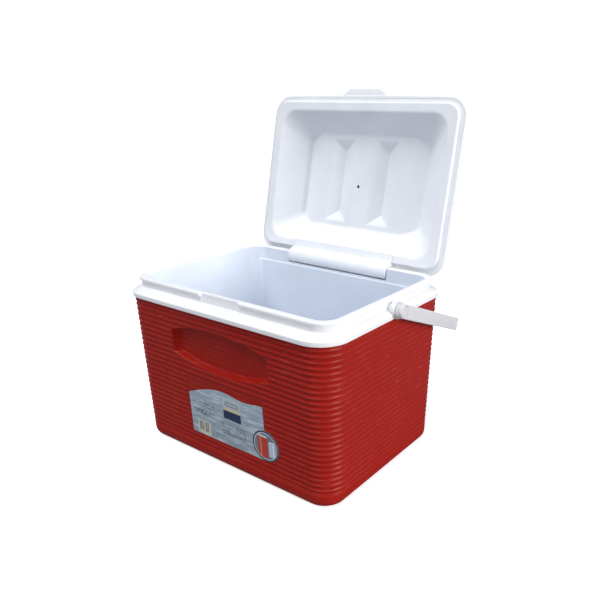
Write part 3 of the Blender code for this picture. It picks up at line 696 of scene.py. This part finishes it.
def add_hinge_seat(thing):
    axis = (HINGE.y, HINGE.z)
    ear_end = TROUGH_HALF + ROD_ENGAGE + RIM_SKIN
    top = BODY_TOP - 0.0017
    combine(thing, rim_filling("trough_filling", ear_end, 1, RIM[1] / 2 - 0.0015, top), "UNION")
    ears = [(-ear_end, EAR_RADIUS - 0.0012), (-ear_end + 0.0004, EAR_RADIUS - 0.0004),
            (-ear_end + 0.0014, EAR_RADIUS)]
    ears += [(-x, radius) for x, radius in reversed(ears)]
    combine(thing, turned_x("hinge_ears", ears, axis), "UNION")
    rim = TROUGH_HALF
    trough = [(-rim, TROUGH_RADIUS - 0.002), (-rim + 0.0006, TROUGH_RADIUS - 0.0006),
              (-rim + 0.002, TROUGH_RADIUS)]
    trough += [(-x, radius) for x, radius in reversed(trough)]
    combine(thing, turned_x("trough", trough, axis), "DIFFERENCE")
    bore = TROUGH_HALF + ROD_ENGAGE + GAP
    combine(thing, turned_x("rod_bore", [(-bore, ROD_RADIUS + GAP), (bore, ROD_RADIUS + GAP)], axis),
            "DIFFERENCE")


def add_front_notch(thing):
    """The notch in the lip that bares the lid's lift tab, with eased edges."""
    half, depth, drop = 0.040, 0.0055, 0.016
    combine(thing, rim_filling("notch_filling", half + RIM_SKIN, -1, LIP[1] / 2 - COVE_DEPTH,
                               BODY_TOP - 0.0015), "UNION")
    face = -LIP[1] / 2 + depth
    front = -LIP[1] / 2 - 2 * SHOULDER_Y
    lip = -LIP[1] / 2
    plan = rounded_path([(half, face, 0.0014), (-half, face, 0.0014), (-half, lip + 0.001, 0.0012),
                         (-half - 0.0012, lip - 0.0004, 0), (-half - 0.0012, front, 0),
                         (half + 0.0012, front, 0), (half + 0.0012, lip - 0.0004, 0),
                         (half, lip + 0.001, 0.0012)], closed=True)
    ease = [(plan, BODY_TOP - drop), (plan, BODY_TOP - 0.0012)]
    eased = [(x * (1 + 0.0008 / half), y + 0.0010) for x, y in plan]
    ease += [(eased, BODY_TOP + 0.0002), (eased, BODY_TOP + drop)]
    cutter = solid("notch", [[(x, y, z) for x, y in points] for points, z in ease])
    combine(thing, cutter, "DIFFERENCE")


def add_handle_boss(thing, side):
    root = LIP[0] / 2 - COVE_DEPTH - RIM_SKIN / 2
    end = RIM[0] / 2 + BOSS_PROUD
    stations = [(side * root, BOSS_RADIUS), (side * (end - 0.0014), BOSS_RADIUS),
                (side * (end - 0.0004), BOSS_RADIUS - 0.0004), (side * end, BOSS_RADIUS - 0.0014)]
    combine(thing, turned_x("boss", stations, (PIVOT.y, PIVOT.z)), "UNION")
    bore = [(side * (end - 0.0104), PIN_RADIUS + GAP), (side * (end + GAP), PIN_RADIUS + GAP)]
    combine(thing, turned_x("boss_bore", bore, (PIVOT.y, PIVOT.z)), "DIFFERENCE")


def tub(finish, inside_painted_shade):
    under = BODY_TOP - RIM_SKIN
    hollow = SHOULDER_Z - 3 * RIM_SKIN
    cove = grow(LIP, -COVE_DEPTH)
    skirt = grow(RIM, -SKIRT_LAND)
    levels = [(tub_outline(TUB_FLOOR, TUB_WALL - TUB_FILLET), TUB_FLOOR - TUB_WALL),
              (tub_outline(TUB_FLOOR + TUB_FILLET, TUB_WALL), TUB_FLOOR + TUB_FILLET),
              (tub_outline(under, TUB_WALL), under), (grow(cove, -RIM_SKIN), under),
              (grow(cove, -RIM_SKIN), hollow), (skirt, hollow)]
    levels += rim_levels() + tub_levels()
    thing = loft("tub_and_rim", levels)
    add_hinge_seat(thing)
    add_front_notch(thing)
    for side in (-1, 1):
        add_handle_boss(thing, side)
    place(thing, finish, "cooler_body", "white_liner", "liner")
    thing.data.materials.append(inside_painted_shade)
    # Faces inside the tub take the second material, a darker and bluer copy of the rim's white: painted
    # shade.
    for face in thing.data.polygons:
        x, y, z = face.center
        inside = tub_outline(z, TUB_WALL / 2)
        if z < BODY_TOP - 0.0010 and 2 * abs(x) < inside[0] and 2 * abs(y) < inside[1]:
            face.material_index = 1
    return thing


# Label

def label_edge(margin):
    left, right = PANEL[0] + LABEL_MARGIN + margin, PANEL[1] - LABEL_MARGIN - margin
    foot = PANEL[2] + LABEL_MARGIN + margin
    radius = BADGE_RADIUS - LABEL_MARGIN - margin
    edge = []
    for step in range(49):
        s = 1 - step / 48
        edge.append((left + (right - left) * s, label_top(s) - margin))
    return [(left, foot)] + badge_arc(right, radius) + edge


def label_top(share):
    height = LABEL_RISE * sin(pi * min(share, 0.5)) - LABEL_DIP * sin(2 * pi * max(share, 0.5)) ** 2
    return LABEL_LEFT_TOP + height


def label(finish):
    near = PANEL_DEPTH - GAP - LABEL_THICKNESS
    layers = [(label_edge(0.0002), near), (label_edge(0.0), near + 0.0002),
              (label_edge(0.0), PANEL_DEPTH - GAP)]
    thing = front_solid("label_print", layers)
    return place(thing, finish, "cooler_body", "label_film", "label")


# Lid

def lid_shell(finish):
    crown = rounded_path([
        (EAVE_SKIN, EAVE_Z, 0), (0.0, EAVE_Z, 0.0013), (0.0, EAVE_Z + EAVE_BAND, 0.0022),
        (0.0045, EAVE_Z + EAVE_BAND + 0.0012, 0.003), (0.0181, LID_TOP - 0.0095, 0.008),
        (0.0261, LID_TOP, 0.005), (0.040, LID_TOP, 0.004), (0.0435, LID_TOP - 0.0012, 0.004),
        (0.060, LID_TOP - 0.0012, 0)])
    inner = [(0.060, LID_TOP - LID_SKIN - 0.0012), (0.0291, LID_TOP - LID_SKIN - 0.0015),
             (0.0208, LID_TOP - 0.0115), (0.0070, EAVE_Z + EAVE_BAND + 0.002),
             (EAVE_SKIN, EAVE_Z + EAVE_BAND - 0.002)]
    levels = [(grow(EAVE, -inset), z, 0.0, 0.0) for inset, z in inner]
    for inset, z in crown:
        bow = EAVE_BOW * max(0.0, 1 - inset / 0.0181)
        levels.append((grow(EAVE, -inset), z, 0.0, bow if inset < EAVE_SKIN or z > EAVE_Z else 0.0))
    thing = loft("lid_shell_moulding", levels)
    front = -EAVE[1] / 2 - EAVE_BOW
    root = -EAVE[1] / 2 + EAVE_SKIN / 2
    half_tab = [(TAB_TIP_HALF, front - TAB_REACH, 0.006), (TAB_BASE_HALF, front + 0.0006, 0.010),
                (TAB_ROOT_HALF, front + 0.0012, 0)]
    corners = half_tab + [(TAB_ROOT_HALF, root, 0), (-TAB_ROOT_HALF, root, 0)]
    corners += [(-x, y, radius) for x, y, radius in reversed(half_tab)]
    foot = EAVE_Z + 0.0012
    tab = prism_z("lift_tab", rounded_path(corners, closed=True), foot, foot + TAB_THICKNESS)
    combine(thing, soften(tab, 0.0009), "UNION")
    return place(thing, finish, "lid", "white_lid", "lid_shell")


def soft_max(a, b, width):
    lap = max(width - abs(a - b), 0.0) / width
    return max(a, b) + lap * lap * width / 4


def soft_min(a, b, width):
    return -soft_max(-a, -b, width)


def wall_share(x, y):
    """How far up the cavity's sloped walls a point lies, from 0 at the ring to 1 at the ceiling."""
    corner = CAVITY[2]
    tighten = corner - CEILING_CORNER
    spread = CAVITY_RUN - tighten
    a = abs(x) - CAVITY[0] / 2 + corner
    b = abs(y) - CAVITY[1] / 2 + corner
    flat = min(corner - a, corner - b) / CAVITY_RUN
    if a + spread * flat <= 0 or b + spread * flat <= 0:
        return flat
    square = 2 * spread ** 2 - tighten ** 2
    middle = 2 * spread * (a + b) + 2 * corner * tighten
    rest = a * a + b * b - corner ** 2
    return (-middle + sqrt(max(middle ** 2 - 4 * square * rest, 0.0))) / (2 * square)


def cavity_depth(x, y):
    """How far the lid's inner face stands above the plug ring: sloped walls round a grooved plateau."""
    wall = CAVITY_DEPTH * wall_share(x, y)
    face = CAVITY_DEPTH - PLATEAU_DROP
    plateau_half = CAVITY[0] / 2 - CAVITY_RUN - PLATEAU_SLOPE
    side = (abs(x) - plateau_half) / PLATEAU_SLOPE
    groove = 1 - soft_max(abs(abs(x) - GROOVE_X) / GROOVE_HALF, (abs(y) - GROOVE_RIDGE) / GROOVE_HIP, 0.05)
    inner = face + PLATEAU_DROP * min(soft_max(soft_max(side, groove, 0.05), 0.0, 0.07), 1.0)
    return soft_max(0.0, soft_min(wall, inner, 0.0020), 0.0014)


def lid_liner(finish):
    """The flange and plug ring, with the cavity as a fine sheet, given a moulding's thickness."""
    section = rounded_path([
        (-0.0065, EAVE_Z + 0.0001, 0), (-0.0012, EAVE_Z + 0.0001, 0.0010),
        (-0.0004, EAVE_Z - 0.0009, 0.0008), (0.0, RING_Z, 0.0022), (0.0045, RING_Z, 0)])
    flange = grow(EAVE, -EAVE_SKIN - GAP)
    build = bmesh.new()
    loops = [(outline(flange), EAVE_Z + 0.0001)]
    loops += [(outline(grow(PLUG, -inset), PLUG_SHIFT), z) for inset, z in section]
    rings = [[build.verts.new((x, y, z)) for x, y in points] for points, z in loops]
    for low, high in zip(rings, rings[1:]):
        for i, vert in enumerate(low):
            after = (i + 1) % len(low)
            build.faces.new((vert, low[after], high[after], high[i]))
    fill_cavity(build, loops[-1][0])
    bmesh.ops.remove_doubles(build, verts=build.verts, dist=0.00001)
    bmesh.ops.recalc_face_normals(build, faces=build.faces)
    build.normal_update()
    lowest = min(build.faces, key=lambda face: face.calc_center_median().z)
    if lowest.normal.z > 0:
        bmesh.ops.reverse_faces(build, faces=build.faces)
    thing = new_object("lid_liner_moulding", build)
    wall = thing.modifiers.new("wall", "SOLIDIFY")
    wall.thickness = LID_SKIN * 0.9
    wall.offset = -1
    settle(thing)
    for x in (-SNAP_X, SNAP_X):
        combine(thing, snap_bump(x), "UNION")
    return place(thing, finish, "lid", "white_lid", "lid_liner")


def fill_cavity(build, edge):
    """Fill the plug ring's inner edge with a lattice of points lifted to the cavity's depth."""
    step_x, step_y = 0.0017, 0.0021
    points = [Vector(point) for point in edge]
    half_x = max(point.x for point in points)
    half_y = max(point.y for point in points)
    corner = PLUG[2]
    rows = int(half_y / step_y)
    columns = int(half_x / step_x)
    for row in range(-rows, rows + 1):
        for column in range(-columns, columns + 1):
            x, y = column * step_x, row * step_y + PLUG_SHIFT
            reach_x = abs(x) - (half_x - corner)
            reach_y = abs(row * step_y) - (half_y - PLUG_SHIFT - corner)
            gap = corner - hypot(max(reach_x, 0.0), max(reach_y, 0.0)) - min(max(reach_x, reach_y), 0.0)
            if gap > 0.0012 and hypot(x - VENT[0], y - VENT[1]) > VENT_RADIUS + 0.0006:
                points.append(Vector((x, y)))
    hole = [Vector(point) for point in circle(VENT_RADIUS, VENT, 16)]
    first = len(points)
    faces = [list(range(len(edge)))]
    ring = [(first + i, first + (i + 1) % len(hole)) for i in range(len(hole))]
    found = delaunay_2d_cdt(points + hole, ring, faces, 1, 1e-7)
    verts = [build.verts.new((p.x, p.y, RING_Z + cavity_depth(p.x, p.y))) for p in found[0]]
    for triangle in found[2]:
        middle = sum((found[0][i] for i in triangle), Vector((0.0, 0.0))) / len(triangle)
        if hypot(middle.x - VENT[0], middle.y - VENT[1]) > VENT_RADIUS * 0.97:
            build.faces.new([verts[i] for i in triangle])


def snap_bump(x):
    """A low rounded catch on the front of the plug."""
    front = PLUG_SHIFT - PLUG[1] / 2
    loops = []
    for share, proud in ((0.0, -0.0006), (1.0, 0.0), (0.86, 0.0003), (0.6, 0.0005)):
        half = 0.008 * share if proud >= 0 else 0.008
        tall = 0.0017 * share if proud >= 0 else 0.0017
        points = rounded_path([(half, tall, tall * 0.9), (-half, tall, tall * 0.9),
                               (-half, -tall, tall * 0.9), (half, -tall, tall * 0.9)], closed=True)
        loops.append([(x + u, front - proud, RING_Z + 0.0034 + v) for u, v in points])
    return solid("snap_bump", loops)


def strap(finish):
    """The plate on the plug ring that curls into a hook round the hinge rod."""
    plug_back = PLUG_SHIFT + PLUG[1] / 2 + 2 * GAP - HINGE.y
    plate_end = CAVITY[1] / 2 - HINGE.y
    under = RING_Z - GAP - HINGE.z
    roof = EAVE_Z - 2 * GAP - HINGE.z
    hook = arc(STRAP_RADIUS, 180, 315, 30)
    bore = arc(ROD_RADIUS + 2 * GAP, 315, 100, 40)
    profile = [(plate_end, under), (plate_end, under - STRAP_PLATE * 0.35),
               (plate_end - 0.0016, under - STRAP_PLATE)]
    profile += [(-STRAP_RADIUS, under - STRAP_PLATE)] + hook[1:] + bore
    profile += [(bore[-1][0], roof), (plug_back, roof), (plug_back, under)]
    section = [(HINGE.y + y, HINGE.z + z) for y, z in profile]
    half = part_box("hinge_strap")[1].x
    thing = soften(prism_x("lid_strap", section, -half, half), 0.0016, 4, 40)
    return place(thing, finish, "lid", "white_lid", "hinge_strap")


# Handle

def handle(finish):
    inner = HANDLE_HALF - ARM_THICKNESS
    hub = WASHER_FACE + WASHER_THICKNESS + GAP
    half = ARM_WIDTH / 2
    side_view = arc(half, 90, 270, 24) + [(ARM_LENGTH, -half), (ARM_LENGTH, half)]
    profile = [(PIVOT.y + y, PIVOT.z + z) for y, z in side_view]
    bail = soften(prism_x("swing_handle", profile, inner, HANDLE_HALF), 0.0012)
    other = soften(prism_x("left_arm", profile, -HANDLE_HALF, -inner), 0.0012)
    combine(bail, other, "UNION")
    face = PIVOT.y + ARM_LENGTH - GAP
    for name, low, high, half_x in (("crossbar", face - BAR_THICKNESS, face, HANDLE_HALF - 0.002),
                                    ("grip", face - GRIP_THICKNESS, face - GAP, GRIP_HALF)):
        corners = [(low, -half + GAP), (high, -half + GAP), (high, half - GAP), (low, half - GAP)]
        radius = 0.3 * min(high - low, ARM_WIDTH)
        points = rounded_path([(y, PIVOT.z + z, radius) for y, z in corners], closed=True)
        combine(bail, soften(prism_x(name, points, -half_x, half_x), 0.0015, 3, 50), "UNION")
    for side in (-1, 1):
        centre = (PIVOT.y, PIVOT.z)
        drum = [(side * hub, HUB_RADIUS - 0.0006), (side * (hub + 0.0006), HUB_RADIUS),
                (side * (inner + GAP), HUB_RADIUS)]
        combine(bail, turned_x("hub", drum, centre), "UNION")
        seat = side * (HANDLE_HALF - PIN_HEAD - GAP)
        bore = [(side * (hub - GAP), PIN_RADIUS + GAP), (seat, PIN_RADIUS + GAP),
                (seat, PIN_HEAD_RADIUS + GAP), (side * (HANDLE_HALF - 0.0004), PIN_HEAD_RADIUS + GAP),
                (side * (HANDLE_HALF + GAP), PIN_HEAD_RADIUS + 0.0010)]
        combine(bail, turned_x("hub_bore", bore, centre), "DIFFERENCE")
    return place(bail, finish, "handle", "white_fittings", "handle")


def pivot_washer(side, word, finish):
    centre = (PIVOT.y, PIVOT.z)
    ease = 0.0005
    stations = [(WASHER_FACE, WASHER_RADIUS - ease), (WASHER_FACE + ease, WASHER_RADIUS),
                (WASHER_FACE + WASHER_THICKNESS - ease, WASHER_RADIUS),
                (WASHER_FACE + WASHER_THICKNESS, WASHER_RADIUS - ease)]
    disc = turned_x("washer_" + word, [(side * x, radius) for x, radius in stations], centre)
    bore = [(side * (WASHER_FACE - GAP), PIN_RADIUS + GAP),
            (side * (WASHER_FACE + WASHER_THICKNESS + GAP), PIN_RADIUS + GAP)]
    combine(disc, turned_x("washer_bore", bore, centre), "DIFFERENCE")
    return place(disc, finish, "cooler_body", "white_fittings", "pivot_washer_" + word)


def pivot_pin(side, word, finish):
    end = WASHER_FACE - GAP - PIN_BURIED
    ease = 0.0005
    stations = [(end, PIN_RADIUS - ease), (end + ease, PIN_RADIUS), (HANDLE_HALF - PIN_HEAD, PIN_RADIUS),
                (HANDLE_HALF - PIN_HEAD, PIN_HEAD_RADIUS), (HANDLE_HALF - ease, PIN_HEAD_RADIUS),
                (HANDLE_HALF, PIN_HEAD_RADIUS - ease), (HANDLE_HALF, 0.0030),
                (HANDLE_HALF - 0.0007, 0.0024)]
    stations = [(side * x, radius) for x, radius in stations]
    thing = turned_x("pin_" + word, stations, (PIVOT.y, PIVOT.z))
    return place(thing, finish, "cooler_body", "white_fittings", "pivot_pin_" + word)


# Stage

def sun(name, toward, strength, softness, colour):
    """A soft distant light that shines from a direction towards the middle of the object."""
    lamp = bpy.data.lights.new(name, "SUN")
    lamp.energy = strength
    lamp.angle = radians(softness)
    lamp.color = colour
    thing = bpy.data.objects.new(name, lamp)
    thing.location = toward
    thing.rotation_euler = (-Vector(toward)).to_track_quat("-Z", "Y").to_euler()
    bpy.context.scene.collection.objects.link(thing)


def stage():
    build = bmesh.new()
    bmesh.ops.create_grid(build, x_segments=8, y_segments=8, size=60.0)
    floor = new_object("floor", build)
    finish, tree, shader, places = blank("floor_paint")
    base = mix(tree, noise(tree, places, 3, 2), (0.94, 0.94, 0.94, 1.0), (0.97, 0.97, 0.97, 1.0))
    tree.links.new(base, shader.inputs["Base Color"])
    shader.inputs["Roughness"].default_value = 0.9
    shader.inputs["Emission Color"].default_value = (1.0, 1.0, 1.0, 1.0)
    shader.inputs["Emission Strength"].default_value = FLOOR_GLOW
    dim = node(tree, "ShaderNodeBsdfDiffuse", {"Color": (0.22, 0.22, 0.23, 1.0)})
    show(tree, dim.outputs[0], shader.outputs[0], "Material Output")
    floor.data.materials.append(finish)
    world = bpy.data.worlds.new("studio")
    world.use_nodes = True
    tree = world.node_tree
    surround = tree.nodes["Background"]
    surround.inputs["Color"].default_value = (0.68, 0.81, 1.0, 1.0)
    surround.inputs["Strength"].default_value = 0.36
    backdrop = node(tree, "ShaderNodeBackground", {"Color": (1.0, 1.0, 1.0, 1.0), "Strength": 1.05})
    show(tree, surround.outputs[0], backdrop.outputs[0], "World Output")
    bpy.context.scene.world = world
    bpy.context.scene.view_settings.view_transform = "Standard"
    sun("key_light", (-0.22, -0.32, 0.92), 2.2, 40, (1.0, 0.99, 0.98))
    sun("front_light", (0.10, -0.96, 0.26), 0.45, 40, (1.0, 0.98, 0.97))
    sun("right_light", (0.96, 0.08, 0.22), 2.9, 35, (1.0, 0.97, 0.95))


def show(tree, lights, seen, output):
    """Light the object with one shader, and show the other to the eye, as in a white studio."""
    straight = node(tree, "ShaderNodeLightPath").outputs["Is Camera Ray"]
    choose = node(tree, "ShaderNodeMixShader", {0: straight, 1: lights, 2: seen})
    tree.links.new(choose.outputs[0], tree.nodes[output].inputs["Surface"])


def camera():
    lens = bpy.data.cameras.new("camera")
    lens.lens = 37.81
    lens.sensor_width = 36.0
    lens.shift_x = -0.0680
    lens.shift_y = 0.0244
    lens.clip_start = 0.01
    thing = bpy.data.objects.new("camera", lens)
    thing.location = (0.6704, -0.7512, 0.5715)
    thing.rotation_euler = (radians(70.74), 0.0, radians(36.50))
    bpy.context.scene.collection.objects.link(thing)
    bpy.context.scene.camera = thing


def main():
    camera()
    stage()
    # Its lighter second colour, laid on the rib crests, is painted highlight as well as wear.
    red = moulded_plastic("red_shell_plastic", (0.345, 0.009, 0.004, 1.0), (0.66, 0.13, 0.08, 1.0), 0.36,
                          0.22, crest_wear_and_highlight)
    rim_white = moulded_plastic("rim_plastic", (0.90, 0.90, 0.91, 1.0), (0.84, 0.84, 0.84, 1.0), 0.38)
    # A darker, bluer copy of the rim's white for inside the tub: painted shade.
    tub_white_painted_shade = moulded_plastic("tub_plastic_painted_shade", (0.74, 0.79, 0.875, 1.0), (0.80, 0.83, 0.88, 1.0), 0.38)
    lid_white = moulded_plastic("lid_plastic", (0.93, 0.94, 0.965, 1.0), (0.90, 0.90, 0.92, 1.0), 0.36)
    # A greyer copy of the white plastic for the handle, pins, washers and rod: painted shade, darker to
    # stand in for the shade on the handle.
    fitting_white_painted_shade = moulded_plastic("fitting_plastic_painted_shade", (0.70, 0.70, 0.72, 1.0), (0.64, 0.64, 0.65, 1.0),
                                    0.34)
    foam_finish = foam()
    shell(red)
    tub(rim_white, tub_white_painted_shade)
    label(label_print())
    lid_shell(lid_white)
    lid_liner(lid_white)
    strap(lid_white)
    handle(fitting_white_painted_shade)
    for side, word in ((-1, "left"), (1, "right")):
        pivot_washer(side, word, fitting_white_painted_shade)
        pivot_pin(side, word, fitting_white_painted_shade)
    for name, finish in (("body_foam", foam_finish), ("lid_foam", foam_finish),
                         ("hinge_rod", fitting_white_painted_shade)):
        kept = frame["nodes"][name]
        kept.data.materials.clear()
        kept.data.materials.append(finish)


main()
